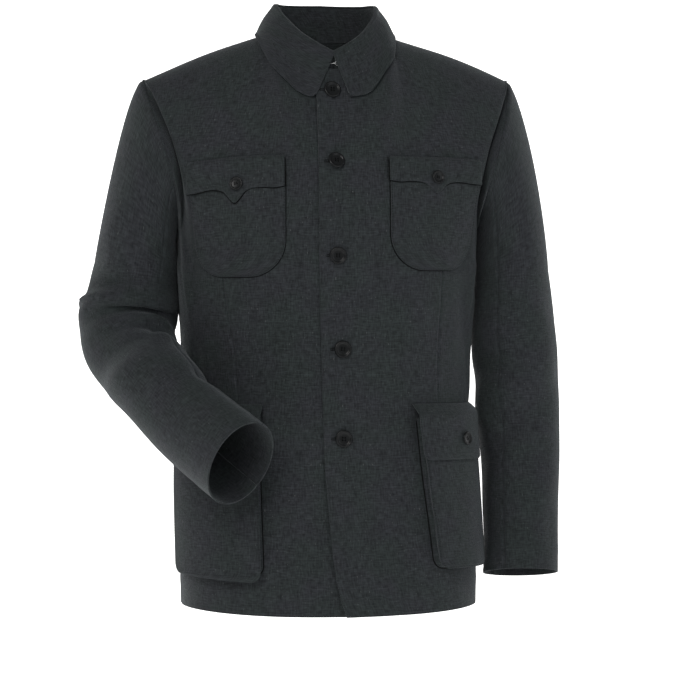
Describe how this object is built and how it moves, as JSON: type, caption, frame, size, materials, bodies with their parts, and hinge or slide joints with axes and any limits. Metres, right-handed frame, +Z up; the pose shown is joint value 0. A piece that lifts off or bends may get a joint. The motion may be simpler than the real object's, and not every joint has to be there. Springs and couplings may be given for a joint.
{
  "type": "mao jacket",
  "caption": "Dark charcoal Mao jacket in its worn form, with a turn-down collar on a stand, a buttoned front, flapped patch chest pockets and flapped bellows pockets below.",
  "frame": {"origin": "middle of the neckline, level with the side neck points of the shoulder seams, where the shoulders carry the jacket", "axes": "+Z up the body, -Y out of the front, +X to the wearer's left"},
  "size_m": [0.6368, 0.4023, 0.7974],
  "materials": {
    "cloth": "matte, fine slubby crosshatch weave",
    "button": "glossy, near black",
    "metal": "bright plated wire"
  },
  "bodies": {
    "root": {"front_left": "cloth", "front_right": "cloth", "back_panel": "cloth", "sleeve_left_top": "cloth", "sleeve_left_under": "cloth", "sleeve_right_top": "cloth", "sleeve_right_under": "cloth", "collar_stand": "cloth", "collar_leaf": "cloth", "chest_pocket_left": "cloth", "chest_pocket_right": "cloth", "chest_flap_left": "cloth", "chest_flap_right": "cloth", "lower_pocket_left": "cloth", "lower_pocket_right": "cloth", "lower_gusset_left": "cloth", "lower_gusset_right": "cloth", "lower_flap_left": "cloth", "lower_flap_right": "cloth", "chest_button_left": "button", "chest_button_right": "button", "lower_button_left": "button", "lower_button_right": "button", "front_button_1": "button", "front_button_2": "button", "front_button_3": "button", "front_button_4": "button", "front_button_5": "button", "collar_hook": "metal", "collar_eye": "metal"}
  },
  "joints": []
}
